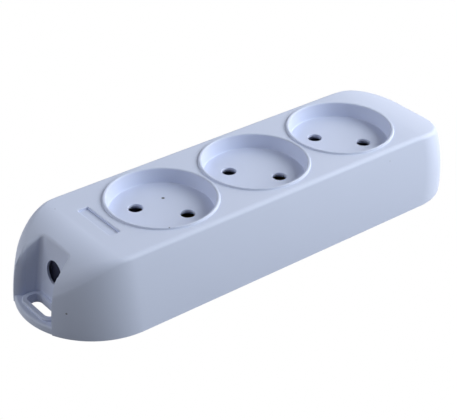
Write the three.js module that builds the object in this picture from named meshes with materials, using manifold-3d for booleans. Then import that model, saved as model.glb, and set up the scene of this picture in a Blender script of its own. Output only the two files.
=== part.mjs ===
// Triple socket block: a moulded housing with three round sockets for two-pin plugs, closed from
// below by a base plate that carries two contact rails, their terminals and the cord clamp.
// Millimetres, +Z up. The origin is at the middle of the foot. +X points to the closed end,
// -X to the nose with the cord inlet and the hanging tab.
import * as THREE from 'three';
import { mergeVertices } from 'three/addons/utils/BufferGeometryUtils.js';
import Module from 'manifold-3d';

const wasm = await Module();
wasm.setup();

// Housing, outside
const LENGTH = 186.6;
const WIDTH = 58.4;
const TOP_HEIGHT = 27.9;
const WALL = 2.2;
const SIDE_LEAN = 5.4;
const NOSE_LEAN = 4.6;
const END_LEAN = 5.5;
const SIDE_CURVE = 0.5;
const END_CORNER_RADIUS = 24.7;
const END_CORNER_RADIUS_TOP = 16.5;
const NOSE_CROWN_LENGTH = 24.9;
const NOSE_CROWN_DROP = 12.4;
const END_CROWN_LENGTH = 28.5;
const END_CROWN_DROP = 6;
const SIDE_EDGE_RADIUS = 1.1;
const NOSE_EDGE_RADIUS = 2.6;
const END_EDGE_RADIUS = 1.2;
const END_DIMPLE_DEPTH = 0.8;
const END_DIMPLE_WIDTH = 5;

// Sockets
const SOCKET_COUNT = 3;
const SOCKET_PITCH = 42.8;
const SOCKET_OFFSET = 7.3;
const RIM_OUTER_DIAMETER = 42.4;
const RIM_WIDTH = 1.55;
const RIM_HEIGHT = 0.75;
const RIM_FLAT = 0.35;
const CUP_DEPTH = 6;
const CUP_TAPER = 0.35;
const CUP_FLOOR = 2.2;
const CUP_CORNER_RADIUS = 0.8;
const PIN_SPACING = 19;
const PIN_LENGTH = 19;
const PIN_DIAMETER = 4.8;
const PIN_LINE_ANGLE = -48;
const PIN_HOLE_DIAMETER = 5;
const PIN_HOLE_CHAMFER = 0.4;

// Nose: cord niche, inlet and hanging tab
const NICHE_DEPTH_FOOT = 10.4;
const NICHE_DEPTH_TOP = 13.9;
const NICHE_HALF_WIDTH_FOOT = 8.2;
const NICHE_HALF_WIDTH_TOP = 10;
const NICHE_FLARE_FOOT = 1.6;
const NICHE_FLARE_TOP = 0.6;
const NICHE_MOUTH_RADIUS = 4.6;
const NICHE_MOUTH_TAPER = 0.4;
const NICHE_MOUTH_TURN = 62;
const NICHE_CORNER_RADIUS = 2;
const INLET_DIAMETER = 9;
const INLET_HEIGHT = 14.4;
const TAB_THICKNESS = 2.8;
const TAB_STEP = 0.3;
const TAB_HALF_WIDTH = 13.7;
const SLOT_LENGTH = 15;
const SLOT_WIDTH = 5.5;
const SLOT_RADIUS = 2.2;
const SLOT_FROM_TIP = 7.15;
const LIP_WIDTH = 1.8;
const LIP_HEIGHT = 0.9;
const LIP_ROUND = 0.5;

// Label recess, left bare
const LABEL_LENGTH = 19.9;
const LABEL_WIDTH = 4.2;
const LABEL_DEPTH = 0.7;
const LABEL_FROM_TIP = 31.8;
const LABEL_SHIFT = 1.1;

// Base plate and its screws
const GAP = 0.3;
const PLATE_RECESS = 0.4;
const PLATE_THICKNESS = 1.8;
const BASE_SCREW_Y = 16;
const BOSS_DIAMETER = 6.6;
const SCREW_DIAMETER = 3;
const SCREW_LENGTH = 15;
const SCREW_HEAD_DIAMETER = 5.6;
const SCREW_HEAD_HEIGHT = 1.5;

// Contact rails and clips
const STRIP = 0.8;
const CLIP_STRIP = 0.6;
const SPRING_STRIP = 0.5;
const RAIL_HEIGHT = 8.7;
const RAIL_RIB = 1.2;
const RAIL_RIB_HEIGHT = 2.6;
const CLIP_HEIGHT = 11.5;
const CLIP_EAR_LENGTH = 6.2;
const CLIP_EAR_HEIGHT = 5.6;
const SPRING_HEIGHT = 5;
const RIVET_DIAMETER = 2.4;
const RIVET_HEAD_DIAMETER = 4.2;
const RIVET_HEAD_HEIGHT = 0.7;
const RAIL_RIB_LENGTH = 10;
const HOLD_DOWN_X = 8;
const HOLD_DOWN_WIDTH = 2;
const BEND_RADIUS = 1;
const LEAF_CLEARANCE = 0.05;
const LEAF_PINCH = 0.45;
const LEAF_TIP = -3.4;
const BARRIER_THICKNESS = 1.2;
const BARRIER_HEIGHT = 11;

// Terminals and cord clamp
const LUG_LENGTH = 10;
const LUG_REACH = 8.4;
const PEDESTAL_WIDTH = 8.6;
const TERMINAL_SCREW_DIAMETER = 3.4;
const TERMINAL_SCREW_LENGTH = 8;
const TERMINAL_HEAD_DIAMETER = 6;
const TERMINAL_HEAD_HEIGHT = 2;
const WASHER_SIZE = 7;
const WASHER_THICKNESS = 0.7;
const NUT_ACROSS_FLATS = 5.5;
const NUT_HEIGHT = 2.4;
const CLAMP_LENGTH = 23;
const CLAMP_WIDTH = 6;
const CLAMP_THICKNESS = 2.2;
const CLAMP_SCREW_SPACING = 16;
const CLAMP_POST_DIAMETER = 6;
const CLAMP_POST_HEIGHT = 12.4;
const CLAMP_FROM_NICHE = 3.4;
const CLAMP_SADDLE_HEIGHT = 8.6;
const CLAMP_SADDLE_WIDTH = 2.4;
const CLAMP_HOLLOW = 1;
const CLAMP_SCREW_LENGTH = 9;
const CLAMP_SCREW_HEAD_HEIGHT = 1.9;
const TERMINAL_GAP = 1;
const SLOT_IN_HEAD = 0.7;

// Facets
const NOSE_STEPS = 14;
const SIDE_STEPS = 2;
const CORNER_STEPS = 8;
const END_STEPS = 4;
const WALL_LEVELS = 5;
const EDGE_LEVELS = 3;
const CAVITY_LEVELS = 2;
const MOUTH_STEPS = 4;
const BEND_STEPS = 3;
const CUP_SEGMENTS = 48;
const HOLE_SEGMENTS = 20;
const SMALL_SEGMENTS = 12;
const BEYOND = 5;

// Places worked out from the sizes
const NOSE_TIP = -LENGTH / 2;
const END_TIP = LENGTH / 2;
const HALF_WIDTH = WIDTH / 2;
const NOSE_CENTRE = NOSE_TIP + HALF_WIDTH;
const RIM_TOP = TOP_HEIGHT + RIM_HEIGHT;
const CUP_FLOOR_TOP = RIM_TOP - CUP_DEPTH;
const CUP_FLOOR_UNDER = CUP_FLOOR_TOP - CUP_FLOOR;
const CUP_RADIUS = RIM_OUTER_DIAMETER / 2 - RIM_WIDTH;
const PLATE_TOP = PLATE_RECESS + PLATE_THICKNESS;
const PART_SEAT = PLATE_TOP + GAP;
const PIN_ANGLE = THREE.MathUtils.degToRad(PIN_LINE_ANGLE);
const PIN_DX = PIN_SPACING / 2 * Math.cos(PIN_ANGLE);
const PIN_DY = -PIN_SPACING / 2 * Math.sin(PIN_ANGLE);
const PIN_RADIUS = PIN_DIAMETER / 2;
const CLIP_WEB_Y = PIN_DY + PIN_RADIUS + GAP;
const RAIL_Y = CLIP_WEB_Y + CLIP_STRIP + GAP;
const RAIL_TOP = PART_SEAT + RAIL_HEIGHT;
const CLIP_BOTTOM = PLATE_TOP + RAIL_RIB_HEIGHT + GAP;
const RIVET_Z = CLIP_BOTTOM + CLIP_EAR_HEIGHT / 2 + GAP;
const RIVET_FROM_PIN = PIN_RADIUS + LEAF_CLEARANCE + CLIP_STRIP + CLIP_EAR_LENGTH / 2;
const TERMINAL_Y = RAIL_Y + STRIP - LUG_REACH / 2;
const PEDESTAL_TOP = RAIL_TOP - STRIP - GAP;
const TERMINAL_SCREW_SEAT = RAIL_TOP + GAP + WASHER_THICKNESS + GAP;
const TERMINAL_SCREW_END = TERMINAL_SCREW_SEAT - TERMINAL_SCREW_LENGTH;
const CLAMP_POST_TOP = PLATE_TOP + CLAMP_POST_HEIGHT;
const CLAMP_SCREW_SEAT = CLAMP_POST_TOP + GAP + CLAMP_THICKNESS + GAP;
const CLAMP_SCREW_END = CLAMP_SCREW_SEAT - CLAMP_SCREW_LENGTH;
const SOCKET_X = [];
for (let k = 0; k < SOCKET_COUNT; k += 1) {
  SOCKET_X.push(SOCKET_OFFSET + (k - (SOCKET_COUNT - 1) / 2) * SOCKET_PITCH);
}
const CLAMP_X = nicheWallX(PLATE_TOP) + WALL + CLAMP_FROM_NICHE + CLAMP_WIDTH / 2;
const TERMINAL_X = CLAMP_X + CLAMP_WIDTH / 2 + TERMINAL_GAP + LUG_LENGTH / 2;
const RAIL_START = TERMINAL_X - LUG_LENGTH / 2;
const RAIL_END = SOCKET_X[SOCKET_COUNT - 1] + PIN_DX + PIN_RADIUS + CLIP_EAR_LENGTH + 2;

// Meshes in and out of the boolean library
function solid(geometry) {
  const bare = geometry.index ? geometry.toNonIndexed() : geometry.clone();
  for (const name of Object.keys(bare.attributes)) {
    if (name !== 'position') bare.deleteAttribute(name);
  }
  const merged = mergeVertices(bare, 1e-4);
  const mesh = new wasm.Mesh({
    numProp: 3,
    vertProperties: new Float32Array(merged.attributes.position.array),
    triVerts: new Uint32Array(merged.index.array),
  });
  return new wasm.Manifold(mesh);
}

function toGeometry(shape) {
  const mesh = shape.getMesh();
  const geometry = new THREE.BufferGeometry();
  geometry.setAttribute('position', new THREE.BufferAttribute(new Float32Array(mesh.vertProperties), 3));
  geometry.setIndex(new THREE.BufferAttribute(new Uint32Array(mesh.triVerts), 1));
  return geometry;
}

// Basic shapes
function box(x0, x1, y0, y1, z0, z1) {
  const geometry = new THREE.BoxGeometry(x1 - x0, y1 - y0, z1 - z0);
  geometry.translate((x0 + x1) / 2, (y0 + y1) / 2, (z0 + z1) / 2);
  return geometry;
}

function lathe(profile, segments) {
  const points = profile.map(([r, z]) => new THREE.Vector2(r, z));
  const geometry = new THREE.LatheGeometry(points, segments);
  geometry.rotateX(Math.PI / 2);
  return geometry;
}

function rod(radius, z0, z1, x = 0, y = 0, segments = HOLE_SEGMENTS) {
  const geometry = lathe([[0, z0], [radius, z0], [radius, z1], [0, z1]], segments);
  geometry.translate(x, y, 0);
  return geometry;
}

function prism(shape, z0, z1, curveSegments = 5) {
  const geometry = new THREE.ExtrudeGeometry(shape, { depth: z1 - z0, bevelEnabled: false, curveSegments });
  geometry.translate(0, 0, z0);
  return geometry;
}

function roundedRectangle(width, length, radius) {
  const shape = new THREE.Shape();
  const x = width / 2 - radius;
  const y = length / 2 - radius;
  shape.absarc(x, -y, radius, -Math.PI / 2, 0);
  shape.absarc(x, y, radius, 0, Math.PI / 2);
  shape.absarc(-x, y, radius, Math.PI / 2, Math.PI);
  shape.absarc(-x, -y, radius, Math.PI, Math.PI * 1.5);
  shape.closePath();
  return shape;
}

function hexagon(acrossFlats) {
  const corner = acrossFlats / Math.sqrt(3);
  const turns = [0, 1, 2, 3, 4, 5].map((k) => k * Math.PI / 3);
  return new THREE.Shape(turns.map((t) => new THREE.Vector2(corner * Math.cos(t), corner * Math.sin(t))));
}

// A bent strip: the centre line thickened to both sides
function ribbon(line, thickness) {
  const left = [];
  const right = [];
  line.forEach(([x, y], i) => {
    const before = line[Math.max(i - 1, 0)];
    const after = line[Math.min(i + 1, line.length - 1)];
    const along = new THREE.Vector2(after[0] - before[0], after[1] - before[1]).normalize();
    const half = thickness / 2;
    left.push(new THREE.Vector2(x - along.y * half, y + along.x * half));
    right.push(new THREE.Vector2(x + along.y * half, y - along.x * half));
  });
  return new THREE.Shape([...left, ...right.reverse()]);
}

// Points of a quarter bend from one strip direction to the next
function bend(centreX, centreY, radius, from, to, steps = BEND_STEPS) {
  const points = [];
  for (let k = 0; k <= steps; k += 1) {
    const turn = THREE.MathUtils.degToRad(from + (to - from) * k / steps);
    points.push([centreX + radius * Math.cos(turn), centreY + radius * Math.sin(turn)]);
  }
  return points;
}

// A ring of points from its half on the -Y side; the other half is its mirror image in the XZ plane
function mirroredRing(half) {
  const mirrored = half.slice(1, -1).reverse().map((p) => new THREE.Vector3(p.x, -p.y, p.z));
  return [...half, ...mirrored];
}

// A closed solid through mirrored rings with the same number of points, from the lowest up. Both
// ends are closed by strips from side to side.
function loft(rings) {
  const count = rings[0].length;
  const index = [];
  for (let level = 0; level < rings.length - 1; level += 1) {
    for (let i = 0; i < count; i += 1) {
      const a = level * count + i;
      const b = level * count + (i + 1) % count;
      index.push(a, b, b + count, a, b + count, a + count);
    }
  }
  const top = (rings.length - 1) * count;
  const mirror = (i) => (count - i) % count;
  for (let i = 0; i < count / 2; i += 1) {
    const quad = [i, i + 1, mirror(i + 1), mirror(i)];
    const corners = quad.filter((v, k) => quad.indexOf(v) === k);
    for (let k = 1; k < corners.length - 1; k += 1) {
      index.push(corners[0], corners[k + 1], corners[k]);
      index.push(top + corners[0], top + corners[k], top + corners[k + 1]);
    }
  }
  const geometry = new THREE.BufferGeometry();
  const positions = rings.flat().flatMap((p) => [p.x, p.y, p.z]);
  geometry.setAttribute('position', new THREE.Float32BufferAttribute(positions, 3));
  geometry.setIndex(index);
  return geometry;
}

// Share of the way from the level top to the nose tip and to the end tip
function towardNose(x) {
  return Math.max(NOSE_TIP + NOSE_CROWN_LENGTH - x, 0) / NOSE_CROWN_LENGTH;
}

function towardEnd(x) {
  return Math.max(x - END_TIP + END_CROWN_LENGTH, 0) / END_CROWN_LENGTH;
}

// Height of the top face: level over the sockets, curving down to both ends
function crownHeight(x) {
  return TOP_HEIGHT - NOSE_CROWN_DROP * towardNose(x) ** 2 - END_CROWN_DROP * towardEnd(x) ** 2;
}

function edgeRadius(x) {
  return SIDE_EDGE_RADIUS
    + (NOSE_EDGE_RADIUS - SIDE_EDGE_RADIUS) * Math.min(towardNose(x), 1)
    + (END_EDGE_RADIUS - SIDE_EDGE_RADIUS) * Math.min(towardEnd(x), 1);
}

// How far the walls lean in at a share of the height
function sideLean(u) {
  return SIDE_LEAN * ((1 - SIDE_CURVE) * u + SIDE_CURVE * u * u);
}

function noseLean(u) {
  return NOSE_LEAN * u * u;
}

// One point of the half outline on the -Y side, from the nose tip to the end tip, at height z and
// moved inwards by inset
function outlinePoint(station, z, inset) {
  const u = z / TOP_HEIGHT;
  if (station <= NOSE_STEPS) {
    const turn = station / NOSE_STEPS * Math.PI / 2;
    const lean = sideLean(u) + (noseLean(u) - sideLean(u)) * Math.cos(turn) ** 2;
    const radius = HALF_WIDTH - inset - lean;
    return new THREE.Vector3(NOSE_CENTRE - radius * Math.cos(turn), -radius * Math.sin(turn), z);
  }
  const half = HALF_WIDTH - sideLean(u) - inset;
  const end = END_TIP - END_LEAN * u * u - inset;
  const corner = END_CORNER_RADIUS + (END_CORNER_RADIUS_TOP - END_CORNER_RADIUS) * u - inset;
  const along = station - NOSE_STEPS;
  if (along <= SIDE_STEPS) {
    return new THREE.Vector3(NOSE_CENTRE + (end - corner - NOSE_CENTRE) * along / SIDE_STEPS, -half, z);
  }
  const round = along - SIDE_STEPS;
  if (round <= CORNER_STEPS) {
    const turn = round / CORNER_STEPS * Math.PI / 2;
    const x = end - corner + corner * Math.sin(turn);
    return new THREE.Vector3(x, -half + corner - corner * Math.cos(turn), z);
  }
  const y = (-half + corner) * (1 - (round - CORNER_STEPS) / END_STEPS);
  const dimple = END_DIMPLE_DEPTH * Math.exp(-2 * (y / END_DIMPLE_WIDTH) ** 2) * u * u;
  return new THREE.Vector3(end - dimple, y, z);
}

function outlineRing(pointAt) {
  const last = NOSE_STEPS + SIDE_STEPS + CORNER_STEPS + END_STEPS;
  const half = [];
  for (let station = 0; station <= last; station += 1) half.push(pointAt(station));
  half[0].y = 0;
  half[last].y = 0;
  return mirroredRing(half);
}

// The housing's outer form, or with an inset the form of its cavity
function housingForm(inset, foot, wallLevels, edgeLevels) {
  const edgeAt = (station) => {
    let z = TOP_HEIGHT;
    for (let pass = 0; pass < 4; pass += 1) z = crownHeight(outlinePoint(station, z, inset).x) - inset;
    const radius = Math.max(edgeRadius(outlinePoint(station, z, inset).x) - inset, SIDE_EDGE_RADIUS / 2);
    return { z, radius };
  };
  const rings = [];
  for (let level = 0; level <= wallLevels; level += 1) {
    rings.push(outlineRing((station) => {
      const edge = edgeAt(station);
      const p = outlinePoint(station, (edge.z - edge.radius) * level / wallLevels, inset);
      if (level === 0) p.z = foot;
      return p;
    }));
  }
  for (let level = 1; level <= edgeLevels; level += 1) {
    const turn = level / edgeLevels * Math.PI / 2;
    rings.push(outlineRing((station) => {
      const edge = edgeAt(station);
      const z = edge.z - edge.radius * (1 - Math.sin(turn));
      return outlinePoint(station, z, inset + edge.radius * (1 - Math.cos(turn)));
    }));
  }
  return loft(rings);
}

function nicheWallX(z) {
  return NOSE_TIP + NICHE_DEPTH_FOOT + (NICHE_DEPTH_TOP - NICHE_DEPTH_FOOT) * z / TOP_HEIGHT;
}

// The cord niche, open to the front and the top: narrower at its inner wall, with rounded mouth
// edges. grown gives the block of material round it that the cavity leaves standing.
function nicheForm(grown, bottom) {
  const ringAt = (z) => {
    const u = z / TOP_HEIGHT;
    const wallX = nicheWallX(z) + grown;
    const inner = NICHE_HALF_WIDTH_FOOT + (NICHE_HALF_WIDTH_TOP - NICHE_HALF_WIDTH_FOOT) * u + grown;
    const mouth = inner + NICHE_FLARE_FOOT + (NICHE_FLARE_TOP - NICHE_FLARE_FOOT) * u;
    const radius = NICHE_MOUTH_RADIUS * (1 - NICHE_MOUTH_TAPER * u);
    const turned = THREE.MathUtils.degToRad(NICHE_MOUTH_TURN);
    const mouthEnd = mouth + radius * (1 - Math.cos(turned));
    const front = NOSE_CENTRE - Math.sqrt((HALF_WIDTH - noseLean(u)) ** 2 - (mouthEnd - grown) ** 2);
    const mouthX = front + radius * Math.sin(turned);
    const points = [[NOSE_TIP - BEYOND, 0], [NOSE_TIP - BEYOND, mouthEnd + BEYOND]];
    for (let k = MOUTH_STEPS; k >= 0; k -= 1) {
      const turn = turned * k / MOUTH_STEPS;
      points.push([mouthX - radius * Math.sin(turn), mouth + radius * (1 - Math.cos(turn))]);
    }
    points.push(...bend(wallX - NICHE_CORNER_RADIUS, inner - NICHE_CORNER_RADIUS, NICHE_CORNER_RADIUS, 90, 0));
    points.push([wallX, 0]);
    return mirroredRing(points.map(([x, y]) => new THREE.Vector3(x, -y, z)));
  };
  return loft([ringAt(bottom), ringAt(TOP_HEIGHT / 2), ringAt(TOP_HEIGHT)]);
}

// Housing: one moulding with the shell, the cups with their rims, the hanging tab, the screw
// bosses and the posts that hold the contact rails down
function makeHousing() {
  let shell = solid(housingForm(0, 0, WALL_LEVELS, EDGE_LEVELS));
  const hollow = solid(housingForm(WALL, -BEYOND, CAVITY_LEVELS, 1));
  const cavity = hollow.subtract(solid(nicheForm(WALL, -BEYOND)));
  shell = shell.subtract(cavity);
  const cupOuter = CUP_RADIUS + WALL - CUP_TAPER;
  for (const x of SOCKET_X) {
    shell = shell.add(solid(rod(cupOuter, CUP_FLOOR_UNDER, TOP_HEIGHT - WALL / 2, x, 0, CUP_SEGMENTS)));
    shell = shell.add(solid(makeRim(x)));
    shell = shell.add(solid(holdDownPost(x, 1))).add(solid(holdDownPost(x, -1)));
  }
  for (const [x, y] of baseScrewPlaces()) {
    shell = shell.add(solid(rod(BOSS_DIAMETER / 2, PART_SEAT, TOP_HEIGHT - WALL / 2, x, y)));
  }
  for (const x of SOCKET_X) {
    shell = shell.subtract(solid(cupCut(x)));
    shell = shell.subtract(solid(pinHoleCut(x, 1))).subtract(solid(pinHoleCut(x, -1)));
  }
  for (const [x, y] of baseScrewPlaces()) {
    const depth = PLATE_RECESS + SCREW_LENGTH + GAP;
    shell = shell.subtract(solid(rod(SCREW_DIAMETER / 2 + GAP, 0, depth, x, y, SMALL_SEGMENTS)));
  }
  shell = shell.subtract(solid(nicheForm(0, TAB_THICKNESS)));
  return withTab(shell).subtract(solid(inletCut())).subtract(solid(labelCut()));
}

function makeRim(x) {
  const outer = RIM_OUTER_DIAMETER / 2;
  const round = RIM_WIDTH / 2 - RIM_FLAT / 2;
  const sunk = TOP_HEIGHT - WALL / 2;
  const profile = [[CUP_RADIUS - WALL / 2, sunk], [outer, sunk]];
  profile.push(...bend(outer - round, RIM_TOP - round, round, 0, 90, 2));
  profile.push([CUP_RADIUS - WALL / 2, RIM_TOP]);
  profile.push(profile[0]);
  const geometry = lathe(profile, CUP_SEGMENTS);
  geometry.translate(x, 0, 0);
  return geometry;
}

// The cup's hollow: a slightly tapering wall, a rounded floor corner and a rounded inner rim edge
function cupCut(x) {
  const low = CUP_RADIUS - CUP_TAPER;
  const corner = CUP_CORNER_RADIUS;
  const round = RIM_WIDTH / 2 - RIM_FLAT / 2;
  const profile = [[0, CUP_FLOOR_TOP], [low - corner, CUP_FLOOR_TOP]];
  profile.push(...bend(low - corner, CUP_FLOOR_TOP + corner, corner, -90, 0, 2).slice(1));
  profile.push(...bend(CUP_RADIUS + round, RIM_TOP - round, round, 180, 90, 2));
  profile.push([CUP_RADIUS + round, RIM_TOP + BEYOND], [0, RIM_TOP + BEYOND]);
  const geometry = lathe(profile, CUP_SEGMENTS);
  geometry.translate(x, 0, 0);
  return geometry;
}

function pinHoleCut(x, side) {
  const radius = PIN_HOLE_DIAMETER / 2;
  const wide = radius + PIN_HOLE_CHAMFER;
  const top = CUP_FLOOR_TOP;
  const profile = [[0, CUP_FLOOR_UNDER - 1], [radius, CUP_FLOOR_UNDER - 1], [radius, top - PIN_HOLE_CHAMFER],
    [wide, top], [wide, top + 1], [0, top + 1]];
  const geometry = lathe(profile, HOLE_SEGMENTS);
  geometry.translate(x - side * PIN_DX, side * PIN_DY, 0);
  return geometry;
}

// A post under the cup floor that stands over a contact rail
function holdDownPost(x, side) {
  const middle = x + side * HOLD_DOWN_X;
  const rail = side * (RAIL_Y + STRIP / 2);
  const half = HOLD_DOWN_WIDTH / 2;
  return box(middle - half, middle + half, rail - half, rail + half, RAIL_TOP + GAP, CUP_FLOOR_UNDER + 1);
}

function baseScrewPlaces() {
  const places = [];
  for (let k = 0; k < SOCKET_COUNT - 1; k += 1) {
    const x = (SOCKET_X[k] + SOCKET_X[k + 1]) / 2;
    places.push([x, BASE_SCREW_Y], [x, -BASE_SCREW_Y]);
  }
  return places;
}

// The tab's hanging slot with the raised lip round it, and the small step of its outline
function withTab(shell) {
  const x = NOSE_TIP + SLOT_FROM_TIP;
  const lipShape = roundedRectangle(
    SLOT_WIDTH + 2 * (LIP_WIDTH - LIP_ROUND), SLOT_LENGTH + 2 * (LIP_WIDTH - LIP_ROUND),
    SLOT_RADIUS + LIP_WIDTH - LIP_ROUND);
  const lip = new THREE.ExtrudeGeometry(lipShape, {
    depth: TAB_THICKNESS / 2 + LIP_HEIGHT - LIP_ROUND * 2, curveSegments: 6,
    bevelThickness: LIP_ROUND, bevelSize: LIP_ROUND, bevelSegments: 3,
  });
  lip.translate(x, 0, TAB_THICKNESS / 2 + LIP_ROUND);
  const slot = prism(roundedRectangle(SLOT_WIDTH, SLOT_LENGTH, SLOT_RADIUS), -1, TAB_THICKNESS + LIP_HEIGHT + 1);
  slot.translate(x, 0, 0);
  const front = box(NOSE_TIP - 1, NOSE_CENTRE, -TAB_HALF_WIDTH, TAB_HALF_WIDTH, -1, TAB_THICKNESS);
  const kept = rod(HALF_WIDTH - TAB_STEP, -1, TAB_THICKNESS, NOSE_CENTRE, 0, NOSE_STEPS * 4);
  return shell.add(solid(lip)).subtract(solid(slot)).subtract(solid(front).subtract(solid(kept)));
}

function inletCut() {
  const geometry = rod(INLET_DIAMETER / 2, -WALL - 2, WALL + 4);
  geometry.rotateY(Math.PI / 2);
  geometry.translate(nicheWallX(INLET_HEIGHT), 0, INLET_HEIGHT);
  return geometry;
}

function labelCut() {
  const x = NOSE_TIP + LABEL_FROM_TIP;
  const half = LABEL_LENGTH / 2;
  return box(x - LABEL_WIDTH / 2, x + LABEL_WIDTH / 2, LABEL_SHIFT - half, LABEL_SHIFT + half,
    TOP_HEIGHT - LABEL_DEPTH, TOP_HEIGHT + 1);
}

// Base plate: set into the housing's foot, with the rail grooves, the barrier between the rails,
// the terminal pedestals and the cord clamp's posts
function makeBasePlate() {
  let plate = solid(housingForm(WALL + GAP, -BEYOND, CAVITY_LEVELS, 1));
  plate = plate.intersect(solid(box(NOSE_TIP, END_TIP, -HALF_WIDTH, HALF_WIDTH, PLATE_RECESS, PLATE_TOP)));
  plate = plate.subtract(solid(nicheForm(WALL + GAP, -BEYOND)));
  const sunk = PLATE_TOP - PLATE_THICKNESS / 2;
  for (const x of SOCKET_X) {
    for (const side of [1, -1]) {
      for (const y of [RAIL_Y - GAP - RAIL_RIB / 2, RAIL_Y + STRIP + GAP + RAIL_RIB / 2]) {
        const middle = x + side * HOLD_DOWN_X;
        plate = plate.add(solid(box(middle - RAIL_RIB_LENGTH / 2, middle + RAIL_RIB_LENGTH / 2,
          side * y - RAIL_RIB / 2, side * y + RAIL_RIB / 2, sunk, PLATE_TOP + RAIL_RIB_HEIGHT)));
      }
    }
  }
  plate = plate.add(solid(box(RAIL_START, RAIL_END, -BARRIER_THICKNESS / 2, BARRIER_THICKNESS / 2,
    sunk, PLATE_TOP + BARRIER_HEIGHT)));
  for (const side of [1, -1]) plate = withTerminalPedestal(plate, side);
  for (const [x, y] of baseScrewPlaces()) {
    const hole = rod(SCREW_DIAMETER / 2 + GAP, -1, PLATE_TOP + 1, x, y, SMALL_SEGMENTS);
    plate = plate.subtract(solid(hole)).subtract(solid(countersink(x, y)));
  }
  return withClampPosts(plate);
}

function countersink(x, y) {
  const wide = SCREW_HEAD_DIAMETER / 2 + GAP;
  const narrow = SCREW_DIAMETER / 2 + GAP;
  const geometry = lathe([[0, PLATE_RECESS - 1], [wide, PLATE_RECESS - 1], [wide, PLATE_RECESS],
    [narrow, PLATE_RECESS + SCREW_HEAD_HEIGHT], [0, PLATE_RECESS + SCREW_HEAD_HEIGHT]], HOLE_SEGMENTS);
  geometry.translate(x, y, 0);
  return geometry;
}

function withTerminalPedestal(plate, side) {
  const near = TERMINAL_Y - PEDESTAL_WIDTH / 2;
  const far = RAIL_Y - GAP;
  const [y0, y1] = side > 0 ? [near, far] : [-far, -near];
  const block = box(TERMINAL_X - LUG_LENGTH / 2, TERMINAL_X + LUG_LENGTH / 2, y0, y1,
    PLATE_TOP - PLATE_THICKNESS / 2, PEDESTAL_TOP);
  const pocket = prism(hexagon(NUT_ACROSS_FLATS + 2 * GAP), PEDESTAL_TOP - NUT_HEIGHT - GAP, PEDESTAL_TOP + 1);
  pocket.translate(TERMINAL_X, side * TERMINAL_Y, 0);
  const hole = rod(TERMINAL_SCREW_DIAMETER / 2 + GAP, TERMINAL_SCREW_END - GAP, PEDESTAL_TOP,
    TERMINAL_X, side * TERMINAL_Y, SMALL_SEGMENTS);
  return plate.add(solid(block)).subtract(solid(pocket)).subtract(solid(hole));
}

function withClampPosts(plate) {
  const sunk = PLATE_TOP - PLATE_THICKNESS / 2;
  const saddleTop = PLATE_TOP + CLAMP_SADDLE_HEIGHT;
  let result = plate.add(solid(box(CLAMP_X - CLAMP_SADDLE_WIDTH / 2, CLAMP_X + CLAMP_SADDLE_WIDTH / 2,
    -CLAMP_SCREW_SPACING / 2, CLAMP_SCREW_SPACING / 2, sunk, saddleTop)));
  for (const side of [1, -1]) {
    const y = side * CLAMP_SCREW_SPACING / 2;
    result = result.add(solid(rod(CLAMP_POST_DIAMETER / 2, sunk, CLAMP_POST_TOP, CLAMP_X, y)));
    const hole = rod(SCREW_DIAMETER / 2 + GAP, CLAMP_SCREW_END - GAP, CLAMP_POST_TOP + 1, CLAMP_X, y, SMALL_SEGMENTS);
    result = result.subtract(solid(hole));
  }
  return result;
}

// Contact rail: a strip on edge along one pole, with a lug folded inwards over the terminal pedestal
function makeRail(side) {
  const outline = new THREE.Shape();
  const corners = [[RAIL_START, PART_SEAT], [RAIL_END, PART_SEAT], [RAIL_END, RAIL_TOP], [RAIL_START, RAIL_TOP]];
  corners.forEach(([x, z], index) => (index ? outline.lineTo(x, z) : outline.moveTo(x, z)));
  outline.holes = SOCKET_X.map((x) => {
    const hole = new THREE.Path();
    const radius = RIVET_DIAMETER / 2 + GAP;
    hole.absarc(x + side * (RIVET_FROM_PIN - PIN_DX), RIVET_Z, radius, 0, Math.PI * 2, true);
    return hole;
  });
  const upright = prism(outline, 0, STRIP, SMALL_SEGMENTS);
  upright.rotateX(Math.PI / 2);
  upright.translate(0, side > 0 ? RAIL_Y + STRIP : -RAIL_Y, 0);
  const joinY = side * (RAIL_Y + STRIP / 2);
  const tipY = side * (RAIL_Y + STRIP - LUG_REACH);
  const lug = solid(box(RAIL_START, RAIL_START + LUG_LENGTH, Math.min(joinY, tipY), Math.max(joinY, tipY),
    RAIL_TOP - STRIP, RAIL_TOP));
  const hole = rod(TERMINAL_SCREW_DIAMETER / 2 + GAP, RAIL_TOP - STRIP - 1, RAIL_TOP + 1,
    TERMINAL_X, side * TERMINAL_Y, SMALL_SEGMENTS);
  return solid(upright).add(lug.subtract(solid(hole)));
}

// A rod along +Y from y0 to y1
function acrossRod(radius, y0, y1) {
  const geometry = rod(radius, y0, y1, 0, 0, SMALL_SEGMENTS);
  geometry.rotateX(-Math.PI / 2);
  return geometry;
}

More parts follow.
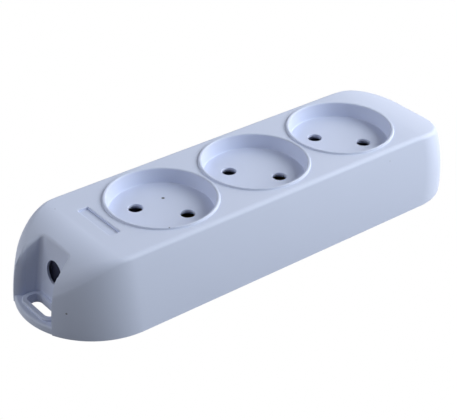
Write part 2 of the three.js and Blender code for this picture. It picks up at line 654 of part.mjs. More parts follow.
// Contact clip round one pin, seen from above: a web along the rail, two leaves beside the pin
// that close in behind it, and an ear for the rivet
function makeClip() {
  const web = CLIP_WEB_Y + CLIP_STRIP / 2 - PIN_DY;
  const leaf = PIN_RADIUS + LEAF_CLEARANCE + CLIP_STRIP / 2;
  const right = [...bend(leaf - BEND_RADIUS, web - BEND_RADIUS, BEND_RADIUS, 90, 0),
    [leaf, -PIN_RADIUS / 2], [leaf - LEAF_PINCH, -PIN_RADIUS - CLIP_STRIP / 3], [leaf - LEAF_PINCH / 2, LEAF_TIP]];
  const left = right.map(([x, y]) => [-x, y]).reverse();
  const strip = solid(prism(ribbon([...left, ...right], CLIP_STRIP), CLIP_BOTTOM, CLIP_BOTTOM + CLIP_HEIGHT));
  const earEnd = leaf + CLIP_STRIP / 2 + CLIP_EAR_LENGTH;
  const ear = solid(box(leaf - BEND_RADIUS, earEnd, web - CLIP_STRIP / 2, web + CLIP_STRIP / 2,
    RIVET_Z - CLIP_EAR_HEIGHT / 2, RIVET_Z + CLIP_EAR_HEIGHT / 2));
  const hole = acrossRod(RIVET_DIAMETER / 2 + GAP, web - 1, web + 1);
  hole.translate(RIVET_FROM_PIN, 0, RIVET_Z);
  return strip.add(ear).subtract(solid(hole));
}

// Steel spring that holds the clip's leaves together from outside
function makeSpring() {
  const leafOuter = PIN_RADIUS + LEAF_CLEARANCE + CLIP_STRIP;
  const arm = leafOuter + GAP + SPRING_STRIP / 2;
  const webY = LEAF_TIP - GAP * 1.5 - SPRING_STRIP / 2;
  const right = [...bend(arm - BEND_RADIUS, webY + BEND_RADIUS, BEND_RADIUS, -90, 0), [arm, PIN_RADIUS / 2]];
  const left = right.map(([x, y]) => [-x, y]).reverse();
  const middle = CLIP_BOTTOM + CLIP_HEIGHT / 2;
  return solid(prism(ribbon([...left, ...right], SPRING_STRIP), middle - SPRING_HEIGHT / 2,
    middle + SPRING_HEIGHT / 2));
}

function makeRivet() {
  const inner = CLIP_WEB_Y - GAP;
  const outer = RAIL_Y + STRIP + GAP;
  const shank = RIVET_DIAMETER / 2;
  const head = RIVET_HEAD_DIAMETER / 2;
  const geometry = lathe([[0, inner - RIVET_HEAD_HEIGHT], [head * 0.7, inner - RIVET_HEAD_HEIGHT],
    [head, inner - RIVET_HEAD_HEIGHT / 3], [head, inner], [shank, inner], [shank, outer], [head, outer],
    [head, outer + RIVET_HEAD_HEIGHT / 3], [head * 0.7, outer + RIVET_HEAD_HEIGHT],
    [0, outer + RIVET_HEAD_HEIGHT]], SMALL_SEGMENTS);
  geometry.rotateX(-Math.PI / 2);
  return solid(geometry);
}

// Screws stand on z = 0 at the underside of the head, shank down
function panScrew(diameter, length, headDiameter, headHeight) {
  const head = headDiameter / 2;
  const geometry = lathe([[0, -length], [diameter / 2 * 0.6, -length], [diameter / 2, -length + diameter / 3],
    [diameter / 2, 0], [head, 0], [head, headHeight * 0.5], [head * 0.7, headHeight], [0, headHeight]],
  HOLE_SEGMENTS);
  const slot = box(-head - 1, head + 1, -SLOT_IN_HEAD / 2, SLOT_IN_HEAD / 2, headHeight / 2, headHeight + 1);
  return solid(geometry).subtract(solid(slot));
}

// Base screws stand on z = 0 at the flat of the countersunk head, shank up
function flatScrew() {
  const head = SCREW_HEAD_DIAMETER / 2;
  const shank = SCREW_DIAMETER / 2;
  const geometry = lathe([[0, 0], [head, 0], [shank, SCREW_HEAD_HEIGHT], [shank, SCREW_LENGTH - SCREW_DIAMETER],
    [0, SCREW_LENGTH]], HOLE_SEGMENTS);
  const slot = box(-head - 1, head + 1, -SLOT_IN_HEAD / 2, SLOT_IN_HEAD / 2, -1, SCREW_HEAD_HEIGHT / 2);
  return solid(geometry).subtract(solid(slot));
}

function makeNut() {
  const hex = solid(prism(hexagon(NUT_ACROSS_FLATS), 0, NUT_HEIGHT));
  return hex.subtract(solid(rod(TERMINAL_SCREW_DIAMETER / 2 + GAP / 2, -1, NUT_HEIGHT + 1, 0, 0, SMALL_SEGMENTS)));
}

function makeWasher() {
  const half = WASHER_SIZE / 2;
  const plate = solid(box(-half, half, -half, half, 0, WASHER_THICKNESS));
  return plate.subtract(solid(rod(TERMINAL_SCREW_DIAMETER / 2 + GAP, -1, WASHER_THICKNESS + 1, 0, 0, SMALL_SEGMENTS)));
}

// Cord clamp: a bar over the cord, hollowed underneath where it presses
function makeClamp() {
  const half = CLAMP_WIDTH / 2;
  const shape = roundedRectangle(CLAMP_WIDTH, CLAMP_LENGTH, half - 0.01);
  let bar = solid(prism(shape, 0, CLAMP_THICKNESS));
  const hollow = rod(INLET_DIAMETER / 2, -CLAMP_WIDTH, CLAMP_WIDTH);
  hollow.rotateY(Math.PI / 2);
  hollow.translate(0, 0, CLAMP_HOLLOW - INLET_DIAMETER / 2);
  bar = bar.subtract(solid(hollow));
  for (const side of [1, -1]) {
    const y = side * CLAMP_SCREW_SPACING / 2;
    const hole = rod(SCREW_DIAMETER / 2 + GAP, -1, CLAMP_THICKNESS + 1, 0, y, SMALL_SEGMENTS);
    bar = bar.subtract(solid(hole));
  }
  return bar;
}

// Materials and the assembled block
const plastic = () => new THREE.MeshStandardMaterial({ color: 0xc2cae4, roughness: 0.45, metalness: 0 });
const brass = () => new THREE.MeshStandardMaterial({ color: 0xc8a14c, roughness: 0.35, metalness: 1 });
const steel = () => new THREE.MeshStandardMaterial({ color: 0xb4b8be, roughness: 0.35, metalness: 1 });

function place(parent, name, shape, material, x = 0, y = 0, z = 0) {
  const mesh = new THREE.Mesh(toGeometry(shape), material());
  mesh.name = name;
  mesh.position.set(x, y, z);
  parent.add(mesh);
}

const block = new THREE.Group();
place(block, 'housing', makeHousing(), plastic);
place(block, 'base_plate', makeBasePlate(), plastic);
for (const [side, hand] of [[1, 'left'], [-1, 'right']]) {
  place(block, `contact_rail_${hand}`, makeRail(side), brass);
  const y = side * TERMINAL_Y;
  place(block, `terminal_nut_${hand}`, makeNut(), brass, TERMINAL_X, y, PEDESTAL_TOP - NUT_HEIGHT);
  place(block, `terminal_washer_${hand}`, makeWasher(), steel, TERMINAL_X, y, RAIL_TOP + GAP);
  place(block, `terminal_screw_${hand}`, panScrew(TERMINAL_SCREW_DIAMETER, TERMINAL_SCREW_LENGTH,
    TERMINAL_HEAD_DIAMETER, TERMINAL_HEAD_HEIGHT), steel, TERMINAL_X, y, TERMINAL_SCREW_SEAT);
  place(block, `clamp_screw_${hand}`, panScrew(SCREW_DIAMETER, CLAMP_SCREW_LENGTH, SCREW_HEAD_DIAMETER,
    CLAMP_SCREW_HEAD_HEIGHT), steel, CLAMP_X, side * CLAMP_SCREW_SPACING / 2, CLAMP_SCREW_SEAT);
}
place(block, 'cord_clamp', makeClamp(), steel, CLAMP_X, 0, CLAMP_POST_TOP + GAP);

SOCKET_X.forEach((socketX, k) => {
  const socket = new THREE.Group();
  socket.position.x = socketX;
  block.add(socket);
  for (const [side, hand] of [[1, 'left'], [-1, 'right']]) {
    const contact = new THREE.Group();
    contact.rotation.z = side > 0 ? 0 : Math.PI;
    socket.add(contact);
    place(contact, `contact_clip_${k + 1}_${hand}`, makeClip(), brass, -PIN_DX, PIN_DY);
    place(contact, `clip_spring_${k + 1}_${hand}`, makeSpring(), steel, -PIN_DX, PIN_DY);
    place(contact, `rivet_${k + 1}_${hand}`, makeRivet(), brass, RIVET_FROM_PIN - PIN_DX, 0, RIVET_Z);
  }
});

baseScrewPlaces().forEach(([x, y], k) => {
  place(block, `base_screw_${k + 1}`, flatScrew(), steel, x, y, PLATE_RECESS);
});

export default block;
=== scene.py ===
"""Triple socket block: its moulded housing, finishes and studio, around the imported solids."""

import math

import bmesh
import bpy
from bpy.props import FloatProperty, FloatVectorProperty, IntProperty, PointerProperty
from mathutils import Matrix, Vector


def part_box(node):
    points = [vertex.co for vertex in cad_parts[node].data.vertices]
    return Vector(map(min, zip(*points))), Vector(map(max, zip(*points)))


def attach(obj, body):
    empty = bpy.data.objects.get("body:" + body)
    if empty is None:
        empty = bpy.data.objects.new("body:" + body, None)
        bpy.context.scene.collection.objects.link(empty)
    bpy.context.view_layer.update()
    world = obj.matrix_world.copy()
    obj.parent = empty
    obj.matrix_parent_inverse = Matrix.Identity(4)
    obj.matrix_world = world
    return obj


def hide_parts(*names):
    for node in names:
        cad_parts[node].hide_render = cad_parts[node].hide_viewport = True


bl_info = {
    "name": "Triple Socket Block",
    "version": (1, 0, 0),
    "blender": (4, 5, 0),
    "location": "View3D > Sidebar > Socket Block",
    "description": "Builds a moulded triple socket block, its finishes and its studio",
    "category": "Object",
}

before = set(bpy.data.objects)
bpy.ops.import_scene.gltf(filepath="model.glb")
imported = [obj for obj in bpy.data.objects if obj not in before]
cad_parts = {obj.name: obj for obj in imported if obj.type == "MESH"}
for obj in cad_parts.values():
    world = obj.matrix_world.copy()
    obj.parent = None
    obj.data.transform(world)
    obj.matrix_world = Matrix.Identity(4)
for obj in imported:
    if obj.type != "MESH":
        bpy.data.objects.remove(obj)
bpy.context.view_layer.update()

MM = 0.001
BLOCK_LOW, BLOCK_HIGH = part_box("housing")

# Steps of the housing's outline, from the nose tip along one side to the middle of the closed end
NOSE_STEPS = 48
SIDE_STEPS = 40
CORNER_STEPS = 24
END_STEPS = 12
STATIONS = NOSE_STEPS + SIDE_STEPS + CORNER_STEPS + END_STEPS

# Levels of the housing's form: up the wall, over the edge and in to the middle of the top
WALL_LEVELS = 14
EDGE_LEVELS = 7
TOP_LEVELS = 10

# Steps of the niche: round its mouth and its corner, up its walls and over its upper edge, and the
# points of its plan that lie in front of the nose
MOUTH_STEPS = 12
NICHE_CORNER_STEPS = 8
NICHE_LEVELS = 18
ROUND_LEVELS = 8
FRONT_POINTS = 2

# Steps of the smaller forms
CUP_SEGMENTS = 144
HOLE_SEGMENTS = 48
ARC_STEPS = 6
RIM_STEPS = 10
BLOCK_CORNER_STEPS = 8
BLOCK_EDGE_STEPS = 4

# Rounds in which a height on the crown and a height on the skin settle
CROWN_ROUNDS = 5
SKIN_ROUNDS = 6

# Distances within which points count as one, a step for slopes, and how far cuts reach past a face
SAME_PLACE = 1e-7
MIRROR_MERGE = 1e-6
DOUBLES = 0.002 * MM
SLOPE_STEP = 0.1 * MM
BEYOND = 5 * MM

# Posts and screw bosses inside the housing, where the rails and the base plate need them
BASE_SCREW_Y = 16 * MM
BOSS_DIAMETER = 6.6 * MM
BOSS_HOLE_DIAMETER = 3.6 * MM
BOSS_FOOT = 2.5 * MM
BOSS_HOLE_DEPTH = 15.7 * MM
POST_FROM_SOCKET = 8 * MM
POST_WIDTH = 2 * MM
POST_FOOT = 11.5 * MM
RAIL_MIDDLE_Y = 11.06 * MM

# Depth of the inlet's cut, and of the wider cut behind its lip
INLET_DEPTH = 5 * MM
INLET_UNDERCUT_DEPTH = 4 * MM


def in_mm(label, words, value):
    """A size in metres whose default is written in millimetres."""
    return FloatProperty(name=label, description=words, default=value * MM, unit="LENGTH", precision=4)


def colour_property(label, words, value):
    """A colour without alpha, as linear red, green and blue."""
    return FloatVectorProperty(
        name=label, description=words, default=value, size=3, min=0, max=1, subtype="COLOR")


class SocketBlockHousing(bpy.types.PropertyGroup):
    """Outer form of the moulded housing, which is centred on the origin"""

    length: FloatProperty(
        name="Length", description="From the nose tip to the closed end", default=2 * BLOCK_HIGH.x,
        unit="LENGTH")
    width: FloatProperty(
        name="Width", description="Across the foot", default=BLOCK_HIGH.y - BLOCK_LOW.y, unit="LENGTH")
    top: in_mm("Top height", "Height of the level top face over the foot", 27.9)
    wall: in_mm("Wall", "Thickness of the moulded wall", 2.2)
    side_lean: in_mm("Side lean", "How far the long sides lean in at the top", 5.4)
    nose_lean: in_mm("Nose lean", "How far the nose leans in at the top", 4.6)
    end_lean: in_mm("End lean", "How far the closed end leans in at the top", 5.5)
    corner_foot: in_mm("End corner at the foot", "Corner radius of the closed end at the foot", 24.7)
    corner_top: in_mm("End corner at the top", "Corner radius of the closed end at the top", 16.5)
    nose_crown_length: in_mm("Nose crown length", "Where the top begins to curve down to the nose", 24.9)
    nose_crown_drop: in_mm("Nose crown drop", "How far the top falls to the nose tip", 12.4)
    nose_dome: in_mm("Nose dome", "How much higher the nose is along its middle", 0.85)
    end_crown_length: in_mm("End crown length", "Where the top begins to curve down to the end", 28.5)
    end_crown_drop: in_mm("End crown drop", "How far the top falls to the closed end", 6.0)
    side_edge: in_mm("Side edge", "Edge radius along the sides", 1.5)
    nose_edge: in_mm("Nose edge", "Edge radius round the nose tip", 6.0)
    end_edge: in_mm("End edge", "Edge radius round the closed end", 1.2)
    dimple: in_mm("End dip", "Depth of the shallow dip in the closed end", 1.1)
    dimple_width: in_mm("End dip width", "Half width of that dip", 5.0)


class SocketBlockSockets(bpy.types.PropertyGroup):
    """The round sockets in the housing"""

    count: IntProperty(name="Sockets", description="How many sockets in the row", default=3, min=1)
    pitch: in_mm("Pitch", "Distance between neighbouring sockets", 42.8)
    offset: in_mm("Row centre", "Place of the row's middle along the block", 7.3)
    rim_diameter: in_mm("Rim diameter", "Outer diameter of the raised rim", 42.4)
    rim_width: in_mm("Rim width", "Width of the raised rim", 1.55)
    rim_height: in_mm("Rim height", "How far the rim stands over the top", 0.75)
    rim_flat: in_mm("Rim flat", "Width of the rim's flat crest", 0.35)
    rim_fall: in_mm("Rim fall", "Width over which the rim falls to the top face outside", 0.45)
    depth: in_mm("Cup depth", "From the rim's crest to the cup's floor", 6.0)
    taper: in_mm("Cup taper", "How much the cup's wall closes in at its floor", 0.35)
    floor: in_mm("Cup floor", "Thickness of the cup's floor", 2.2)
    corner: in_mm("Cup corner", "Radius between the cup's wall and floor", 0.4)
    pin_spacing: in_mm("Pin spacing", "Between the middles of a socket's pin holes", 19.0)
    pin_angle: FloatProperty(
        name="Pin line", description="Angle of the line through a socket's pin holes",
        default=math.radians(-48), subtype="ANGLE", unit="ROTATION")
    hole_diameter: in_mm("Pin hole", "Diameter of a pin hole", 5.4)
    hole_round: in_mm("Pin hole edge", "Edge radius round a pin hole", 0.25)
    hole_lip: in_mm("Pin hole lip", "Thickness of the floor right round a pin hole", 1.0)
    hole_undercut: in_mm("Pin hole undercut", "How much wider the hole is below that lip", 0.8)


class SocketBlockNose(bpy.types.PropertyGroup):
    """The nose: cord niche, inlet, hanging tab and label recess"""

    depth_foot: in_mm("Niche depth at the foot", "From the nose tip to the niche's inner wall", 10.4)
    depth_top: in_mm("Niche depth at the top", "The same at the level of the top face", 13.9)
    half_foot: in_mm("Niche half width at the foot", "Half the width of the inner wall", 8.6)
    half_top: in_mm("Niche half width at the top", "The same at the level of the top face", 8.9)
    flare_foot: in_mm("Flare at the foot", "How much each cheek opens towards the front", 1.3)
    flare_top: in_mm("Flare at the top", "The same at the level of the top face", 1.2)
    mouth_radius: in_mm("Mouth radius", "Rounding of the niche's mouth", 4.6)
    mouth_taper: FloatProperty(
        name="Mouth taper", description="Share of the mouth radius lost at the top", default=0.4)
    mouth_turn: FloatProperty(
        name="Mouth turn", description="Angle through which the mouth's rounding turns",
        default=math.radians(62), subtype="ANGLE", unit="ROTATION")
    corner: in_mm("Niche corner", "Radius between the inner wall and the cheeks", 1.8)
    wall_edge: in_mm("Inner wall edge", "Edge radius where the inner wall meets the skin", 0.9)
    cheek_edge: in_mm("Cheek edge", "Edge radius where a cheek meets the skin", 1.6)
    inlet_diameter: in_mm("Inlet", "Diameter of the cord inlet", 9.0)
    inlet_height: in_mm("Inlet height", "Height of the inlet's middle over the foot", 14.8)
    inlet_lip: in_mm("Inlet lip", "Thickness of the wall right round the inlet", 0.8)
    inlet_undercut: in_mm("Inlet undercut", "How much wider the inlet is behind that lip", 2.2)
    tab: in_mm("Tab", "Thickness of the hanging tab", 2.8)
    tab_step: in_mm("Tab step", "Small step of the tab's outline", 0.3)
    tab_half: in_mm("Tab half width", "Where that step is", 13.7)
    tab_edge: in_mm("Tab edge", "Edge radius along the tab's front", 0.9)
    slot_length: in_mm("Slot length", "Length of the hanging slot", 15.0)
    slot_width: in_mm("Slot width", "Width of the hanging slot", 5.5)
    slot_radius: in_mm("Slot corners", "Corner radius of the hanging slot", 2.2)
    slot_from_tip: in_mm("Slot place", "From the nose tip to the slot's middle", 7.15)
    lip_width: in_mm("Lip width", "Width of the raised lip round the slot", 1.8)
    lip_height: in_mm("Lip height", "Height of that lip over the tab", 0.9)
    lip_round: in_mm("Lip rounding", "Edge radius of that lip", 0.5)
    label_length: in_mm("Label length", "Length of the bare label recess", 19.9)
    label_width: in_mm("Label width", "Width of the bare label recess", 4.2)
    label_depth: in_mm("Label depth", "Depth of the bare label recess", 0.9)
    label_from_tip: in_mm("Label place", "From the nose tip to the recess's middle", 31.8)
    label_shift: in_mm("Label shift", "How far the recess lies off the middle", 1.1)
    label_corner: in_mm("Label corners", "Corner radius of the recess", 0.5)
    label_edge: in_mm("Label edge", "Edge radius round the recess", 0.35)


class SocketBlockColours(bpy.types.PropertyGroup):
    """Colours of the finishes"""

    housing: colour_property("Housing", "Pale plastic of the housing", (0.635, 0.68, 0.85))
    base: colour_property("Base", "Plastic of the base plate and clamp", (0.52, 0.54, 0.67))
    brass: colour_property("Brass", "Contact rails, clips and rivets", (0.60, 0.39, 0.12))
    steel: colour_property("Steel", "Zinc-plated screws, nuts and washers", (0.58, 0.60, 0.64))
    spring: colour_property("Spring steel", "Springs round the clips", (0.30, 0.31, 0.33))


class SocketBlockSettings(bpy.types.PropertyGroup):
    """Everything a user can set on the socket block"""

    housing: PointerProperty(type=SocketBlockHousing)
    sockets: PointerProperty(type=SocketBlockSockets)
    nose: PointerProperty(type=SocketBlockNose)
    colours: PointerProperty(type=SocketBlockColours)


# Mesh helpers

def piece_object(name, bm):
    """A new object at the origin with the bmesh's mesh, which it frees."""
    mesh = bpy.data.meshes.new(name)
    bm.to_mesh(mesh)
    bm.free()
    piece = bpy.data.objects.new(name, mesh)
    bpy.context.scene.collection.objects.link(piece)
    return piece


def combine(piece, tool, operation):
    """Adds the closed tool to the piece or cuts it out, and removes the tool."""
    modifier = piece.modifiers.new("combine", "BOOLEAN")
    modifier.operation = operation
    modifier.object = tool
    modifier.solver = "MANIFOLD"
    evaluated = piece.evaluated_get(bpy.context.evaluated_depsgraph_get())
    mesh = bpy.data.meshes.new_from_object(evaluated)
    piece.modifiers.clear()
    old = piece.data
    piece.data = mesh
    mesh.name = piece.name
    bpy.data.meshes.remove(old)
    bpy.data.objects.remove(tool)


def closed(bm):
    """Merges doubles and points the faces of a closed form outwards."""
    bmesh.ops.remove_doubles(bm, verts=bm.verts, dist=DOUBLES)
    bmesh.ops.dissolve_degenerate(bm, edges=bm.edges, dist=DOUBLES)
    bmesh.ops.recalc_face_normals(bm, faces=bm.faces)
    return bm


def add_turned(bm, profile, centre, segments):
    """Spins a profile of (radius, height) points round the vertical through centre."""
    points = [bm.verts.new((centre.x + radius, centre.y, height)) for radius, height in profile]
    edges = [bm.edges.new(pair) for pair in zip(points, points[1:])]
    bmesh.ops.spin(
        bm, geom=[*points, *edges], cent=centre, axis=(0, 0, 1), angle=math.tau, steps=segments,
        use_merge=True)


def add_block(bm, low, high):
    """A block between two opposite corners; returns its vertices."""
    corner, size = Vector(low), Vector(high) - Vector(low)
    matrix = Matrix.Translation(corner + size / 2) @ Matrix.Diagonal((*size, 1))
    return bmesh.ops.create_cube(bm, size=1, matrix=matrix)["verts"]


def add_cylinder(bm, radius, depth, matrix):
    """A capped cylinder along the matrix's own Z."""
    bmesh.ops.create_cone(
        bm, cap_ends=True, segments=HOLE_SEGMENTS, radius1=radius, radius2=radius, depth=depth,
        matrix=matrix)


def add_rod(bm, radius, low, high, x, y):
    """An upright cylinder between two heights."""
    add_cylinder(bm, radius, high - low, Matrix.Translation((x, y, (low + high) / 2)))


def round_edges(bm, edges, radius, steps):
    """Rounds edges of a form."""
    bmesh.ops.bevel(
        bm, geom=list(edges), offset=radius, offset_type="OFFSET", segments=steps, profile=0.5,
        affect="EDGES", material=-1)


def add_rounded_block(bm, centre, size, corner, edge=0.0):
    """A block with rounded upright corners and, if edge is given, a rounded upper edge."""
    low = Vector(centre) - Vector(size) / 2
    verts = add_block(bm, low, Vector(centre) + Vector(size) / 2)
    upright = {e for v in verts for e in v.link_edges
               if abs(e.verts[0].co.z - e.verts[1].co.z) > size[2] / 2}
    round_edges(bm, upright, corner, BLOCK_CORNER_STEPS)
    if edge:
        top = low.z + size[2]
        rim = {e for f in bm.faces for e in f.edges
               if all(abs(v.co.z - top) < SAME_PLACE for v in e.verts) and len(e.link_faces) == 2}
        round_edges(bm, rim, edge, BLOCK_EDGE_STEPS)


def arc(centre_x, centre_y, radius, start, stop, steps=ARC_STEPS):
    """Points on an arc, for profiles; the angles are in degrees."""
    turns = [math.radians(start + (stop - start) * k / steps) for k in range(steps + 1)]
    return [(centre_x + radius * math.cos(t), centre_y + radius * math.sin(t)) for t in turns]


class Outline:
    """The housing's outer form: where the moulding's skin lies at each height."""

    def __init__(self, sizes):
        self.s = sizes
        self.tip = -sizes.length / 2
        self.end = sizes.length / 2
        self.half = sizes.width / 2
        self.nose_centre = self.tip + self.half

    def toward_nose(self, x):
        """How far a place is along the nose's crown: 0 where it begins, 1 at the tip."""
        return max(self.tip + self.s.nose_crown_length - x, 0) / self.s.nose_crown_length

    def toward_end(self, x):
        """The same along the closed end's crown."""
        return max(x - self.end + self.s.end_crown_length, 0) / self.s.end_crown_length

    def crown(self, x):
        """Height of the top at a place along the block."""
        s = self.s
        return (s.top - s.nose_crown_drop * self.toward_nose(x) ** 2
                - s.end_crown_drop * self.toward_end(x) ** 2)

    def dome(self, x, share):
        """Extra height along the nose's middle; share is the way from the middle to the edge."""
        return self.s.nose_dome * min(2 * self.toward_nose(x), 1) * (1 - share ** 2)

    def skin(self, x, y):
        """Height of the skin over a place on the nose."""
        along = self.nose_centre - x
        station = math.atan2(abs(y), along) / (math.pi / 2) * NOSE_STEPS
        z, edge = self.edge(station, 0)
        outer = self.point(station, z, 0)
        reach = math.hypot(outer.x - self.nose_centre, outer.y)
        over = min(max(edge - reach + math.hypot(along, y), 0), edge)
        half = math.sqrt(max((reach - edge) ** 2 - along ** 2, MM ** 2))
        share = min(abs(y) / half, 1)
        return self.crown(x) + self.dome(x, share) - edge + math.sqrt(edge ** 2 - over ** 2)

    def edge_radius(self, x):
        """Radius of the edge round the top at a place along the block."""
        s = self.s
        return (s.side_edge + (s.nose_edge - s.side_edge) * min(self.toward_nose(x), 1)
                + (s.end_edge - s.side_edge) * min(self.toward_end(x), 1))

    def side_lean(self, u):
        """How far a side has leaned in; u is the share of the top height."""
        return self.s.side_lean * (u + u * u) / 2

    def nose_lean(self, u):
        """The same for the nose."""
        return self.s.nose_lean * u * u

    def point(self, station, z, inset):
        """The skin's point on the -Y side at a station from the nose tip to the middle of the end."""
        s = self.s
        u = z / s.top
        if station <= NOSE_STEPS:
            turn = station / NOSE_STEPS * math.pi / 2
            lean = self.side_lean(u) + (self.nose_lean(u) - self.side_lean(u)) * math.cos(turn) ** 2
            radius = self.half - inset - lean
            return Vector((self.nose_centre - radius * math.cos(turn), -radius * math.sin(turn), z))
        half = self.half - self.side_lean(u) - inset
        end = self.end - s.end_lean * u * u - inset
        corner = s.corner_foot + (s.corner_top - s.corner_foot) * u - inset
        along = station - NOSE_STEPS
        if along <= SIDE_STEPS:
            x = self.nose_centre + (end - corner - self.nose_centre) * along / SIDE_STEPS
            return Vector((x, -half, z))
        along -= SIDE_STEPS
        if along <= CORNER_STEPS:
            turn = along / CORNER_STEPS * math.pi / 2
            x = end - corner + corner * math.sin(turn)
            return Vector((x, -half + corner - corner * math.cos(turn), z))
        y = (corner - half) * (1 - (along - CORNER_STEPS) / END_STEPS)
        dip = s.dimple * math.exp(-2 * (y / s.dimple_width) ** 2) * u * u
        return Vector((end - dip, y, z))

    def edge(self, station, inset):
        """Height of the crown over a station, and the radius of the edge there."""
        z = self.s.top
        for _ in range(CROWN_ROUNDS):
            z = self.crown(self.point(station, z, inset).x) - inset
        x = self.point(station, z, inset).x
        return z, max(self.edge_radius(x) - inset, self.s.side_edge / 2)


def moved_verts(geometry):
    """The vertices of an extruded row."""
    return [g for g in geometry if isinstance(g, bmesh.types.BMVert)]


def next_row(geometry, layer):
    """The edges of an extruded row that the next row is drawn from."""
    return [g for g in geometry if isinstance(g, bmesh.types.BMEdge) and len(g.link_faces) == 1
            and g.verts[0][layer] != g.verts[1][layer]]


def close_to_middle(bm, edges):
    """Draws a row of edges in to the middle plane, which closes one side of a form."""
    for vert in moved_verts(bmesh.ops.extrude_edge_only(bm, edges=edges)["geom"]):
        vert.co.y = 0


def mirrored(bm):
    """Adds the other side to half a form and closes the whole."""
    bmesh.ops.remove_doubles(bm, verts=bm.verts, dist=SAME_PLACE)
    bmesh.ops.mirror(bm, geom=[*bm.verts, *bm.edges, *bm.faces], axis="Y", merge_dist=MIRROR_MERGE)
    return closed(bm)


def housing_form(sizes, inset, foot):
    """The closed outer form, or with an inset that of the hollow inside. The foot outline of one
    side is drawn up level by level, over the edge and in to the middle, and then mirrored."""
    outline = Outline(sizes)
    bm = bmesh.new()
    station = bm.verts.layers.float.new("station")
    ring = []
    for k in range(STATIONS + 1):
        vert = bm.verts.new(outline.point(k, 0, inset))
        vert[station] = k
        ring.append(vert)
    first = [bm.edges.new(pair) for pair in zip(ring, ring[1:])]
    for vert in ring:
        vert.co.z = foot

    def wall(k, share):
        z, radius = outline.edge(k, inset)
        return outline.point(k, (z - radius) * share, inset)

    def over_edge(k, share):
        turn = share * math.pi / 2
        z, radius = outline.edge(k, inset)
        p = outline.point(k, z - radius * (1 - math.sin(turn)), inset + radius * (1 - math.cos(turn)))
        p.z = outline.crown(p.x) - inset - radius * (1 - math.sin(turn))
        return p

    def inwards(k, share):
        z, radius = outline.edge(k, inset)
        p = outline.point(k, z, inset + radius)
        height = outline.crown(p.x) - inset + outline.dome(p.x, 1 - share)
        return Vector((p.x, p.y * (1 - share), height))

    edges = first
    for count, place in ((WALL_LEVELS, wall), (EDGE_LEVELS, over_edge), (TOP_LEVELS, inwards)):
        for level in range(1, count + 1):
            made = bmesh.ops.extrude_edge_only(bm, edges=edges)["geom"]
            for vert in moved_verts(made):
                vert.co = place(vert[station], level / count)
                if vert[station] in (0, STATIONS):
                    vert.co.y = 0
            edges = next_row(made, station)
    close_to_middle(bm, first)
    return mirrored(bm)


def niche_wall(outline, nose, z):
    """Where the niche's inner wall lies at a height."""
    return outline.tip + nose.depth_foot + (nose.depth_top - nose.depth_foot) * z / outline.s.top


def niche_plan(outline, nose, z, grown=0.0):
    """Half of the niche's plan at a height, from in front of the nose round the mouth and the
    corner to the middle of the inner wall. grown gives the block of material round it."""
    u = min(z / outline.s.top, 1)
    wall_x = niche_wall(outline, nose, u * outline.s.top) + grown
    inner = nose.half_foot + (nose.half_top - nose.half_foot) * u + grown
    mouth = inner + nose.flare_foot + (nose.flare_top - nose.flare_foot) * u
    radius = nose.mouth_radius * (1 - nose.mouth_taper * u)
    mouth_end = mouth + radius * (1 - math.cos(nose.mouth_turn))
    nose_radius = outline.half - outline.nose_lean(u)
    front = outline.nose_centre - math.sqrt(nose_radius ** 2 - (mouth_end - grown) ** 2)
    mouth_x = front + radius * math.sin(nose.mouth_turn)
    points = [(outline.tip - BEYOND, 0), (outline.tip - BEYOND, mouth_end + BEYOND)]
    for k in range(MOUTH_STEPS, -1, -1):
        turn = nose.mouth_turn * k / MOUTH_STEPS
        points.append((mouth_x - radius * math.sin(turn), mouth + radius * (1 - math.cos(turn))))
    points += arc(wall_x - nose.corner, inner - nose.corner, nose.corner, 90, 0, NICHE_CORNER_STEPS)
    points.append((wall_x, 0))
    return [Vector(p) for p in points]


def upright_form(columns):
    """A closed form from columns of points on the -Y side, drawn up level by level and mirrored."""
    bm = bmesh.new()
    number = bm.verts.layers.float.new("number")
    verts = []
    for k, column in enumerate(columns):
        vert = bm.verts.new(column[0])
        vert[number] = k
        verts.append(vert)
    first = [bm.edges.new(pair) for pair in zip(verts, verts[1:])]
    edges = first
    for level in range(1, len(columns[0])):
        made = bmesh.ops.extrude_edge_only(bm, edges=edges)["geom"]
        for vert in moved_verts(made):
            vert.co = columns[round(vert[number])][level]
        edges = next_row(made, number)
    close_to_middle(bm, first)
    close_to_middle(bm, edges)
    return mirrored(bm)


def niche_block(sizes, nose, grown):
    """The block of material that the hollow leaves standing round the niche."""
    outline = Outline(sizes)
    heights = [-2 * BEYOND] + [sizes.top * k / NICHE_LEVELS for k in range(NICHE_LEVELS + 1)]
    plans = [(z, niche_plan(outline, nose, max(z, 0), grown)) for z in heights]
    columns = [[Vector((plan[k].x, -plan[k].y, z)) for z, plan in plans] for k in range(len(plans[0][1]))]
    return upright_form(columns)


